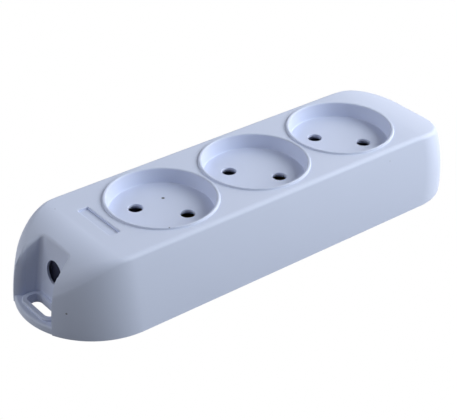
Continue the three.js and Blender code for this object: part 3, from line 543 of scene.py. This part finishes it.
def niche_hollow(sizes, nose):
    """The niche, open to the front and the top. Where its walls come up to the skin, they turn over
    into it with a small radius at the inner wall and a larger one at the cheeks."""
    outline = Outline(sizes)
    count = len(niche_plan(outline, nose, 0))
    cheek_start = FRONT_POINTS + MOUTH_STEPS
    corner_start = cheek_start + 1

    def edge_of(k):
        """Edge radius over point k of the plan."""
        if k < FRONT_POINTS:
            return 0.0
        if k < cheek_start:
            return nose.cheek_edge * (k - FRONT_POINTS) / MOUTH_STEPS
        share = min(max((k - corner_start) / NICHE_CORNER_STEPS, 0), 1)
        return nose.cheek_edge + (nose.wall_edge - nose.cheek_edge) * share

    def outwards(k, z):
        """The plan's normal at point k, into the material."""
        if k < FRONT_POINTS:
            return Vector((0, 0))
        plan = niche_plan(outline, nose, z)
        if k == count - 1:
            return Vector((1, 0))
        along = (plan[k + 1] - plan[max(k - 1, FRONT_POINTS)]).normalized()
        return Vector((-along.y, along.x))

    def meeting(k, radius):
        """Height and slope of the skin where the turned edge over point k runs out into it."""
        top = sizes.top
        slope = 0.0
        for _ in range(SKIN_ROUNDS):
            z = min(top, sizes.top)
            normal = outwards(k, z)
            at = niche_plan(outline, nose, z)[k] + normal * radius * (1 - math.sin(slope))
            further = at + normal * SLOPE_STEP
            top = outline.skin(at.x, at.y)
            slope = max(math.atan((outline.skin(further.x, further.y) - top) / SLOPE_STEP), 0)
        return top, slope

    def column(k):
        """The points over point k of the plan, from below the foot to above the top."""
        radius = edge_of(k)
        top, slope = meeting(k, radius)
        turned = math.pi / 2 - slope
        straight = top - radius * math.sin(turned)
        levels = range(NICHE_LEVELS + 1)
        points = [(-BEYOND + (straight + BEYOND) * level / NICHE_LEVELS, 0) for level in levels]
        for level in range(1, ROUND_LEVELS + 1):
            turn = turned * level / ROUND_LEVELS
            points.append((straight + radius * math.sin(turn), radius * (1 - math.cos(turn))))
        arc_end = points[-1][0]
        for level in range(1, ROUND_LEVELS + 1):
            z = arc_end + (sizes.top + BEYOND - arc_end) * level / ROUND_LEVELS
            points.append((z, radius * (1 - math.cos(turned))))
        placed = []
        for z, offset in points:
            height = min(max(z, 0), sizes.top)
            p = niche_plan(outline, nose, height)[k] + outwards(k, height) * offset
            placed.append(Vector((p.x, -p.y, z)))
        return placed

    return upright_form([column(k) for k in range(count)])


def rounded_plan(length, width, corner):
    """Points round a rectangle with rounded corners, about the origin."""
    x, y = width / 2 - corner, length / 2 - corner
    points = []
    for start, cx, cy in ((0, x, y), (90, -x, y), (180, -x, -y), (270, x, -y)):
        points += arc(cx, cy, corner, start, start + 90)
    return points


def label_recess(sizes, nose):
    """The bare label recess: a shallow pocket in the top face with a rounded edge."""
    bm = bmesh.new()
    edge = nose.label_edge
    levels = [(sizes.top - nose.label_depth, 0.0), (sizes.top - edge, 0.0)]
    for level in range(1, ARC_STEPS + 1):
        turn = math.radians(90 * level / ARC_STEPS)
        levels.append((sizes.top - edge * (1 - math.sin(turn)), edge * (1 - math.cos(turn))))
    levels.append((sizes.top + MM, edge))
    x = Outline(sizes).tip + nose.label_from_tip
    rings = []
    for z, grown in levels:
        plan = rounded_plan(
            nose.label_length + 2 * grown, nose.label_width + 2 * grown, nose.label_corner + grown)
        rings.append([bm.verts.new((x + px, nose.label_shift + py, z)) for px, py in plan])
    for low, high in zip(rings, rings[1:]):
        for k in range(len(low)):
            bm.faces.new((low[k - 1], low[k], high[k], high[k - 1]))
    bm.faces.new(rings[0])
    bm.faces.new(rings[-1])
    return closed(bm)


def hanging_tab(sizes, nose):
    """The tab across the niche's foot: part of a round plate with a rounded edge. A full turn of the
    plate takes four times the nose's steps, because the nose is drawn over a quarter."""
    outline = Outline(sizes)
    radius = outline.half - nose.tab_step
    edge = nose.tab_edge
    bm = bmesh.new()
    profile = [(0, 0), (radius, 0), *arc(radius - edge, nose.tab - edge, edge, 0, 90), (0, nose.tab)]
    add_turned(bm, profile, Vector((outline.nose_centre, 0, 0)), 4 * NOSE_STEPS)
    plate = piece_object("hanging_tab", closed(bm))
    front = bmesh.new()
    add_block(front, (outline.tip - MM, -nose.tab_half, -MM),
              (niche_wall(outline, nose, nose.tab) + sizes.wall / 2, nose.tab_half, nose.tab + MM))
    combine(plate, piece_object("tab_front", front), "INTERSECT")
    return plate


def socket_places(sockets):
    """Where the sockets' middles lie along the block."""
    return [sockets.offset + (k - (sockets.count - 1) / 2) * sockets.pitch for k in range(sockets.count)]


def screw_places(sockets):
    """Where the base screws stand: two between each pair of sockets."""
    places = socket_places(sockets)
    middles = [(a + b) / 2 for a, b in zip(places, places[1:])]
    return [(x, side * BASE_SCREW_Y) for x in middles for side in (1, -1)]


class Cup:
    """Heights and radii that the forms of a socket share."""

    def __init__(self, sizes, sockets):
        self.rim_top = sizes.top + sockets.rim_height
        self.floor_top = self.rim_top - sockets.depth
        self.floor_under = self.floor_top - sockets.floor
        self.radius = sockets.rim_diameter / 2 - sockets.rim_width
        self.floor_radius = self.radius - sockets.taper
        self.crest = (sockets.rim_width - sockets.rim_flat) / 2
        self.rim_foot = sockets.rim_diameter / 2 - self.crest + sockets.rim_fall


def rim_side(radius, reach, low, high):
    """The rim's outer side: it swells up from the top face to the crest in one soft curve."""
    points = []
    for k in range(RIM_STEPS + 1):
        turn = math.pi * k / RIM_STEPS
        points.append((radius - reach * k / RIM_STEPS, low + (high - low) * (1 - math.cos(turn)) / 2))
    return points


def cups(s, sockets, cup):
    """The solid cups with their rims, before they are hollowed out."""
    bm = bmesh.new()
    outer_radius = cup.radius + s.wall - sockets.taper
    sunk = s.top - s.wall / 2
    profile = [(0, cup.floor_under), (outer_radius, cup.floor_under)]
    profile += [(outer_radius, sunk), (cup.rim_foot, sunk)]
    profile += rim_side(cup.rim_foot, sockets.rim_fall, s.top, cup.rim_top)
    profile.append((0, cup.rim_top))
    for x in socket_places(sockets):
        add_turned(bm, profile, Vector((x, 0, 0)), CUP_SEGMENTS)
    return closed(bm)


def posts(s, sockets, cup):
    """Hold-down posts over the contact rails and bosses for the base screws."""
    bm = bmesh.new()
    reach = Vector((POST_WIDTH, POST_WIDTH, 0)) / 2
    for x in socket_places(sockets):
        for side in (1, -1):
            middle = Vector((x + side * POST_FROM_SOCKET, side * RAIL_MIDDLE_Y, 0))
            add_block(bm, middle - reach + Vector((0, 0, POST_FOOT)),
                      middle + reach + Vector((0, 0, cup.floor_under + MM)))
    for x, y in screw_places(sockets):
        add_rod(bm, BOSS_DIAMETER / 2, BOSS_FOOT, s.top - s.wall / 2, x, y)
    return closed(bm)


def cup_hollows(sockets, cup):
    """The cups' round hollows, with the rounded inner side of the rim."""
    bm = bmesh.new()
    corner, crest = sockets.corner, cup.crest
    profile = [(0, cup.floor_top)]
    profile += arc(cup.floor_radius - corner, cup.floor_top + corner, corner, -90, 0)
    profile += arc(cup.radius + crest, cup.rim_top - crest, crest, 180, 90)
    profile += [(cup.radius + crest, cup.rim_top + BEYOND), (0, cup.rim_top + BEYOND)]
    for x in socket_places(sockets):
        add_turned(bm, profile, Vector((x, 0, 0)), CUP_SEGMENTS)
    return closed(bm)


def holes(sockets, cup):
    """The pin holes, which are wider below a thin lip, and the holes in the bosses."""
    bm = bmesh.new()
    radius = sockets.hole_diameter / 2
    rounding = sockets.hole_round
    under = radius + sockets.hole_undercut
    lip_under = cup.floor_top - sockets.hole_lip
    profile = [(0, cup.floor_under - MM), (under, cup.floor_under - MM)]
    profile += [(under, lip_under), (radius, lip_under)]
    profile += arc(radius + rounding, cup.floor_top - rounding, rounding, 180, 90)
    profile += [(radius + rounding, cup.floor_top + MM), (0, cup.floor_top + MM)]
    line = Vector((math.cos(sockets.pin_angle), math.sin(sockets.pin_angle), 0))
    reach = line * sockets.pin_spacing / 2
    for x in socket_places(sockets):
        for side in (1, -1):
            add_turned(bm, profile, Vector((x, 0, 0)) + side * reach, HOLE_SEGMENTS)
    for x, y in screw_places(sockets):
        add_rod(bm, BOSS_HOLE_DIAMETER / 2, 0, BOSS_HOLE_DEPTH, x, y)
    return closed(bm)


def finish_tab(piece, outline, nose):
    """Adds the raised lip to the hanging tab and cuts the slot through both."""
    lip, slot = bmesh.new(), bmesh.new()
    x = outline.tip + nose.slot_from_tip
    low = nose.tab / 2
    high = nose.tab + nose.lip_height
    add_rounded_block(
        lip, (x, 0, (low + high) / 2),
        (nose.slot_width + 2 * nose.lip_width, nose.slot_length + 2 * nose.lip_width, high - low),
        nose.slot_radius + nose.lip_width, nose.lip_round)
    add_rounded_block(
        slot, (x, 0, high / 2), (nose.slot_width, nose.slot_length, high + BEYOND), nose.slot_radius)
    combine(piece, piece_object("lip", closed(lip)), "UNION")
    combine(piece, piece_object("slot", closed(slot)), "DIFFERENCE")


def cut_inlet(piece, outline, nose):
    """Cuts the inlet square to the niche's inner wall, and wider behind a thin lip."""
    rise = (nose.depth_top - nose.depth_foot) / outline.s.top
    across = Matrix.Rotation(math.pi / 2 + math.atan(rise), 4, "Y")
    mouth = Vector((niche_wall(outline, nose, nose.inlet_height), 0, nose.inlet_height))
    radius = nose.inlet_diameter / 2
    cuts = ((radius, -MM, INLET_DEPTH), (radius + nose.inlet_undercut, nose.inlet_lip, INLET_UNDERCUT_DEPTH))
    for bore, start, depth in cuts:
        tool = bmesh.new()
        place = Matrix.Translation((0, 0, start + depth / 2))
        add_cylinder(tool, bore, depth, Matrix.Translation(mouth) @ across @ place)
        combine(piece, piece_object("inlet", tool), "DIFFERENCE")


def make_housing(settings):
    """The moulded housing: a shell, then its cups, posts, holes, niche, tab, inlet and label."""
    s, sockets, nose = settings.housing, settings.sockets, settings.nose
    outline = Outline(s)
    cup = Cup(s, sockets)
    piece = piece_object("moulded_housing", housing_form(s, 0, 0))
    hollow = piece_object("hollow", housing_form(s, s.wall, -BEYOND))
    combine(hollow, piece_object("niche_block", niche_block(s, nose, s.wall)), "DIFFERENCE")
    combine(piece, hollow, "DIFFERENCE")
    combine(piece, piece_object("cups", cups(s, sockets, cup)), "UNION")
    combine(piece, piece_object("posts", posts(s, sockets, cup)), "UNION")
    combine(piece, piece_object("cup_hollows", cup_hollows(sockets, cup)), "DIFFERENCE")
    combine(piece, piece_object("holes", holes(sockets, cup)), "DIFFERENCE")
    combine(piece, piece_object("niche", niche_hollow(s, nose)), "DIFFERENCE")
    combine(piece, hanging_tab(s, nose), "UNION")
    finish_tab(piece, outline, nose)
    cut_inlet(piece, outline, nose)
    combine(piece, piece_object("label", label_recess(s, nose)), "DIFFERENCE")
    return piece


def smooth_by_angle(piece, degrees):
    """Smooth shading that keeps edges sharper than the angle, weighted to the large faces."""
    piece.data.shade_smooth()
    piece.data.set_sharp_from_angle(angle=math.radians(degrees))
    weighted = piece.modifiers.new("weighted normals", "WEIGHTED_NORMAL")
    weighted.keep_sharp = True


# Finishes

PLASTIC_SPECULAR = 0.3
PLASTIC_BUMP = 0.12
METAL_BUMP = 0.2
GRAIN_HEIGHT = 0.02 * MM
SPECK_COLOUR = (0.05, 0.05, 0.06, 1)
HOUSING_ROUGHNESS = 0.5
BASE_ROUGHNESS = 0.5
BRASS_ROUGHNESS = 0.32
SPRING_ROUGHNESS = 0.4
STEEL_ROUGHNESS = 0.35
SMOOTH_ANGLE = 32

# Specks of dirt that the photograph shows: place and radius in millimetres, then strength
SPECKS = (
    ((-30.0, 6.5, 22.65), 0.75, 0.95),
    ((-45.3, -18.0, 28.65), 0.35, 0.7),
    ((-87.0, -16.6, 10.0), 0.45, 0.7),
    ((59.5, -20.3, 27.6), 0.3, 0.3),
    ((53.3, -25.0, 23.6), 0.3, 0.3),
    ((-69.3, 16.5, 27.9), 0.3, 0.35),
)


def nodes_of(tree):
    """Short ways to add and join nodes in a tree."""
    def add(kind, **values):
        node = tree.nodes.new(kind)
        for key, value in values.items():
            setattr(node, key, value)
        return node

    def join(source, target):
        tree.links.new(source, target)
    return add, join


def give(node, values):
    """Sets inputs of a node by name."""
    for name, value in values.items():
        node.inputs[name].default_value = value


def calculated(tree, operation, *values):
    """The output of a math node whose inputs are numbers or other nodes' outputs."""
    node = tree.nodes.new("ShaderNodeMath")
    node.operation = operation
    for socket, value in zip(node.inputs, values):
        if isinstance(value, bpy.types.NodeSocket):
            tree.links.new(value, socket)
        else:
            socket.default_value = value
    return node.outputs[0]


def new_group(name, inputs, outputs):
    """An empty node group with its sockets; returns its tree, input node and output node."""
    tree = bpy.data.node_groups.new(name, "ShaderNodeTree")
    for label, kind, value in inputs:
        socket = tree.interface.new_socket(label, in_out="INPUT", socket_type="NodeSocket" + kind)
        socket.default_value = value
    for label, kind in outputs:
        tree.interface.new_socket(label, in_out="OUTPUT", socket_type="NodeSocket" + kind)
    return tree, tree.nodes.new("NodeGroupInput"), tree.nodes.new("NodeGroupOutput")


def grain_group():
    """Fine noise over the piece: a colour that varies a little, a roughness and a height."""
    tree, given, put = new_group(
        "moulding_grain",
        (("Colour", "Color", (0.5, 0.5, 0.5, 1)), ("Mottle", "Float", 0.03),
         ("Roughness", "Float", 0.4), ("Roughness Spread", "Float", 0.06),
         ("Grain Scale", "Float", 1800.0), ("Cloud Scale", "Float", 45.0)),
        (("Colour", "Color"), ("Roughness", "Float"), ("Height", "Float")))
    add, join = nodes_of(tree)
    place = add("ShaderNodeTexCoord")
    cloud, grain = add("ShaderNodeTexNoise"), add("ShaderNodeTexNoise")
    for noise, detail, scale in ((cloud, 4, "Cloud Scale"), (grain, 3, "Grain Scale")):
        give(noise, {"Detail": detail})
        join(place.outputs["Object"], noise.inputs["Vector"])
        join(given.outputs[scale], noise.inputs["Scale"])
    centred = calculated(tree, "SUBTRACT", cloud.outputs["Fac"], 0.5)
    lighter = calculated(tree, "MULTIPLY_ADD", centred, given.outputs["Mottle"], 1)
    shade = add("ShaderNodeVectorMath", operation="SCALE")
    join(given.outputs["Colour"], shade.inputs[0])
    join(lighter, shade.inputs["Scale"])
    join(shade.outputs[0], put.inputs["Colour"])
    rough = calculated(
        tree, "MULTIPLY_ADD", centred, given.outputs["Roughness Spread"], given.outputs["Roughness"])
    join(rough, put.inputs["Roughness"])
    join(grain.outputs["Fac"], put.inputs["Height"])
    return tree


def speck_group():
    """A mask of one small round speck at a place on the piece."""
    tree, given, put = new_group(
        "speck",
        (("Place", "Vector", (0, 0, 0)), ("Radius", "Float", 0.3 * MM), ("Strength", "Float", 0.5)),
        (("Mask", "Float"),))
    add, join = nodes_of(tree)
    place = add("ShaderNodeTexCoord")
    away = add("ShaderNodeVectorMath", operation="DISTANCE")
    join(place.outputs["Object"], away.inputs[0])
    join(given.outputs["Place"], away.inputs[1])
    share = calculated(tree, "DIVIDE", away.outputs["Value"], given.outputs["Radius"])
    fall = add("ShaderNodeMapRange", interpolation_type="SMOOTHSTEP")
    give(fall, {"From Min": 0.6, "From Max": 1.0, "To Min": 1.0, "To Max": 0.0})
    join(share, fall.inputs["Value"])
    join(calculated(tree, "MULTIPLY", fall.outputs["Result"], given.outputs["Strength"]), put.inputs["Mask"])
    return tree


def group(name, make):
    """The node group of that name, made when it isn't there yet."""
    return bpy.data.node_groups.get(name) or make()


def grained(name, colour, bump_strength, values):
    """A material whose colour, roughness and normal come from the grain group; also its shader
    and the group's node."""
    material = bpy.data.materials.new(name)
    material.use_nodes = True
    tree = material.node_tree
    add, join = nodes_of(tree)
    shader = tree.nodes["Principled BSDF"]
    grain = add("ShaderNodeGroup")
    grain.node_tree = group("moulding_grain", grain_group)
    give(grain, {"Colour": (*colour, 1), **values})
    join(grain.outputs["Colour"], shader.inputs["Base Color"])
    join(grain.outputs["Roughness"], shader.inputs["Roughness"])
    bump = add("ShaderNodeBump")
    give(bump, {"Strength": bump_strength, "Distance": GRAIN_HEIGHT})
    join(grain.outputs["Height"], bump.inputs["Height"])
    join(bump.outputs["Normal"], shader.inputs["Normal"])
    return material, shader, grain


def plastic(name, colour, roughness, specks=()):
    """Satin moulded plastic with a faint cloudiness, fine grain and a few specks."""
    material, shader, grain = grained(name, colour, PLASTIC_BUMP, {"Roughness": roughness})
    give(shader, {"Specular IOR Level": PLASTIC_SPECULAR})
    add, join = nodes_of(material.node_tree)
    paint = grain.outputs["Colour"]
    for place, radius, strength in specks:
        speck = add("ShaderNodeGroup")
        speck.node_tree = group("speck", speck_group)
        give(speck, {"Place": Vector(place) * MM, "Radius": radius * MM, "Strength": strength})
        mix = add("ShaderNodeMix", data_type="RGBA")
        join(speck.outputs["Mask"], mix.inputs["Factor"])
        join(paint, mix.inputs["A"])
        give(mix, {"B": SPECK_COLOUR})
        paint = mix.outputs["Result"]
    join(paint, shader.inputs["Base Color"])
    return material


def metal(name, colour, roughness):
    """Stamped or plated metal with a fine grain and a slightly uneven tone."""
    values = {"Mottle": 0.25, "Roughness": roughness, "Roughness Spread": 0.2, "Cloud Scale": 300}
    material, shader, _ = grained(name, colour, METAL_BUMP, values)
    give(shader, {"Metallic": 1})
    return material


def finish_nodes(names, material):
    """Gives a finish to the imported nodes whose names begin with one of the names."""
    for name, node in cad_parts.items():
        if name.startswith(names):
            node.data.materials.clear()
            node.data.materials.append(material)


# Operators

class SOCKETBLOCK_OT_housing(bpy.types.Operator):
    """Moulded housing with its sockets, nose and hanging tab"""

    bl_idname = "socketblock.housing"
    bl_label = "Moulded Housing"

    def execute(self, context):
        settings = context.scene.socket_block
        piece = make_housing(settings)
        smooth_by_angle(piece, SMOOTH_ANGLE)
        finish = plastic("pale_housing_plastic", settings.colours.housing, HOUSING_ROUGHNESS, SPECKS)
        piece.data.materials.clear()
        piece.data.materials.append(finish)
        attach(piece, "root")
        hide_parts("housing")
        return {"FINISHED"}


class SOCKETBLOCK_OT_base(bpy.types.Operator):
    """Base plate and cord clamp"""

    bl_idname = "socketblock.base"
    bl_label = "Base Plate and Cord Clamp"

    def execute(self, context):
        colour = context.scene.socket_block.colours.base
        finish_nodes(("base_plate", "cord_clamp"), plastic("base_plastic", colour, BASE_ROUGHNESS))
        return {"FINISHED"}


class SOCKETBLOCK_OT_contacts(bpy.types.Operator):
    """Contact rails, clips, rivets and springs"""

    bl_idname = "socketblock.contacts"
    bl_label = "Contacts"

    def execute(self, context):
        colours = context.scene.socket_block.colours
        finish_nodes(("contact_", "rivet_"), metal("stamped_brass", colours.brass, BRASS_ROUGHNESS))
        finish_nodes(("clip_spring_",), metal("spring_steel", colours.spring, SPRING_ROUGHNESS))
        return {"FINISHED"}


class SOCKETBLOCK_OT_fasteners(bpy.types.Operator):
    """Screws, nuts and washers"""

    bl_idname = "socketblock.fasteners"
    bl_label = "Screws, Nuts and Washers"

    def execute(self, context):
        colour = context.scene.socket_block.colours.steel
        steel = metal("zinc_plated_steel", colour, STEEL_ROUGHNESS)
        finish_nodes(("base_screw_", "clamp_screw_", "terminal_"), steel)
        return {"FINISHED"}


# Camera as worked out from the sockets in the photograph: places in metres, lens in millimetres
CAMERA_PLACE = Vector((-0.279385, -0.335849, 0.284606))
CAMERA_TARGET = Vector((-0.022216, -0.021444, 0.028646))
CAMERA_ROLL = math.radians(1.173)
CAMERA_LENS = 108.49
CAMERA_SENSOR = 36
CAMERA_NEAR = 0.01

# Lamps: name, direction from the block, size in metres, energy in watts, colour
LAMP_DISTANCE = 1.0
LAMPS = (
    ("key_lamp", (0.58, -0.58, 0.58), 0.7, 9.2, (0.90, 0.97, 1)),
    ("side_lamp", (0.9, -0.1, 0.4), 0.7, 5.4, (1, 0.98, 0.95)),
    ("fill_lamp", (-0.75, 0.45, 0.5), 0.8, 4.0, (0.94, 0.98, 1)),
)

# The floor lies just under the block, so that their faces don't fall together
FLOOR_SIZE = 3
FLOOR_HEIGHT = -0.2 * MM
FLOOR_COLOUR = (0.2, 0.2, 0.2, 1)
FLOOR_ROUGHNESS = 0.9
WORLD_COLOUR = (0.82, 0.88, 1, 1)
WORLD_STRENGTH = 0.05


def add_lamp(name, direction, size, energy, colour):
    """A square lamp that shines on the block from a direction."""
    lamp = bpy.data.lights.new(name, "AREA")
    lamp.shape = "SQUARE"
    lamp.size = size
    lamp.energy = energy
    lamp.color = colour
    holder = bpy.data.objects.new(name, lamp)
    back = Vector(direction).normalized()
    holder.location = back * LAMP_DISTANCE
    holder.rotation_mode = "QUATERNION"
    holder.rotation_quaternion = (-back).to_track_quat("-Z", "Y")
    bpy.context.scene.collection.objects.link(holder)


def white_for_camera(tree, shaded, white, output):
    """Shows white to camera, glossy and transmission rays, and the shaded node to all others."""
    add, join = nodes_of(tree)
    path = add("ShaderNodeLightPath")
    either = path.outputs["Is Camera Ray"]
    for ray in ("Is Glossy Ray", "Is Transmission Ray"):
        either = calculated(tree, "MAXIMUM", either, path.outputs[ray])
    mix = add("ShaderNodeMixShader")
    join(either, mix.inputs["Fac"])
    join(shaded.outputs[0], mix.inputs[1])
    join(white.outputs[0], mix.inputs[2])
    join(mix.outputs[0], output.inputs["Surface"])


def add_floor():
    """A floor that keeps the block's shadow and is white to the camera."""
    bm = bmesh.new()
    place = Matrix.Translation((0, 0, FLOOR_HEIGHT))
    bmesh.ops.create_grid(bm, x_segments=1, y_segments=1, size=FLOOR_SIZE, matrix=place)
    floor = piece_object("floor", bm)
    material = bpy.data.materials.new("pale_floor")
    material.use_nodes = True
    tree = material.node_tree
    shader = tree.nodes["Principled BSDF"]
    give(shader, {"Base Color": FLOOR_COLOUR, "Roughness": FLOOR_ROUGHNESS})
    glow = tree.nodes.new("ShaderNodeEmission")
    white_for_camera(tree, shader, glow, tree.nodes["Material Output"])
    floor.data.materials.append(material)


def add_world(scene):
    """A faint even light all round, white to the camera."""
    world = bpy.data.worlds.new("studio")
    scene.world = world
    world.use_nodes = True
    tree = world.node_tree
    plain = tree.nodes["Background"]
    give(plain, {"Color": WORLD_COLOUR, "Strength": WORLD_STRENGTH})
    white = tree.nodes.new("ShaderNodeBackground")
    white_for_camera(tree, plain, white, tree.nodes["World Output"])


def add_camera(scene):
    """The photograph's camera, with its slight roll."""
    camera = bpy.data.cameras.new("camera")
    camera.lens = CAMERA_LENS
    camera.sensor_width = CAMERA_SENSOR
    camera.clip_start = CAMERA_NEAR
    holder = bpy.data.objects.new("camera", camera)
    back = (CAMERA_PLACE - CAMERA_TARGET).normalized()
    right = (-back).cross(Vector((0, 0, 1))).normalized()
    up = back.cross(right)
    level = right * math.cos(CAMERA_ROLL) + up * math.sin(CAMERA_ROLL)
    upright = up * math.cos(CAMERA_ROLL) - right * math.sin(CAMERA_ROLL)
    turned = Matrix((level, upright, back)).transposed().to_4x4()
    holder.matrix_world = Matrix.Translation(CAMERA_PLACE) @ turned
    scene.collection.objects.link(holder)
    scene.camera = holder


class SOCKETBLOCK_OT_stage(bpy.types.Operator):
    """Floor, white backdrop, lamps and camera"""

    bl_idname = "socketblock.stage"
    bl_label = "Studio"

    def execute(self, context):
        scene = context.scene
        scene.view_settings.view_transform = "Standard"
        add_floor()
        add_world(scene)
        for lamp in LAMPS:
            add_lamp(*lamp)
        add_camera(scene)
        return {"FINISHED"}


class SOCKETBLOCK_PT_panel(bpy.types.Panel):
    """Lists the steps that build the socket block"""

    bl_idname = "SOCKETBLOCK_PT_panel"
    bl_label = "Socket Block"
    bl_space_type = "VIEW_3D"
    bl_region_type = "UI"
    bl_category = "Socket Block"

    def draw(self, context):
        for operator in OPERATORS:
            self.layout.operator(operator.bl_idname)


GROUPS = (SocketBlockHousing, SocketBlockSockets, SocketBlockNose, SocketBlockColours, SocketBlockSettings)
OPERATORS = (SOCKETBLOCK_OT_stage, SOCKETBLOCK_OT_housing, SOCKETBLOCK_OT_base, SOCKETBLOCK_OT_contacts,
             SOCKETBLOCK_OT_fasteners)


def register():
    for cls in (*GROUPS, *OPERATORS, SOCKETBLOCK_PT_panel):
        bpy.utils.register_class(cls)
    bpy.types.Scene.socket_block = PointerProperty(type=SocketBlockSettings)


def unregister():
    del bpy.types.Scene.socket_block
    for cls in reversed((*GROUPS, *OPERATORS, SOCKETBLOCK_PT_panel)):
        bpy.utils.unregister_class(cls)


def main():
    register()
    bpy.ops.socketblock.stage()
    bpy.ops.socketblock.housing()
    bpy.ops.socketblock.base()
    bpy.ops.socketblock.contacts()
    bpy.ops.socketblock.fasteners()


if __name__ == "__main__":
    main()
